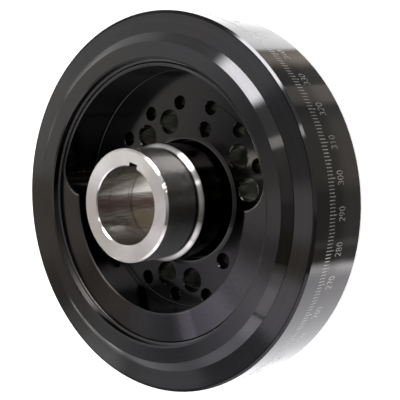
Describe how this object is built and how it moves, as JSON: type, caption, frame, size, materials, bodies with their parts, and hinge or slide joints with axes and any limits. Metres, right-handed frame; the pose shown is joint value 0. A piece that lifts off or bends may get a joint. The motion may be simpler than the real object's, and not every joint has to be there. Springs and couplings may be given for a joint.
{
  "type": "harmonic balancer",
  "caption": "Bonded harmonic balancer: steel hub with ground seal nose, keyed bore and half-moon weight, rubber ring and outer inertia ring with a degree scale.",
  "frame": {"origin": "on the axis of the crank bore, in the plane of the inertia ring's front face, where the balancer stands", "axes": "+Z along the crank bore towards the nose, which is the crankshaft side; +Y through the keyway; +X completes a right-handed frame"},
  "size_m": [0.174, 0.174, 0.0563],
  "materials": {
    "hub_steel": "black oxide, ground bright on the nose",
    "damper_rubber": "satin",
    "ring_steel": "turned, black oxide"
  },
  "bodies": {
    "root": {"hub": "hub_steel", "damper_rubber": "damper_rubber", "inertia_ring": "ring_steel"}
  },
  "joints": []
}
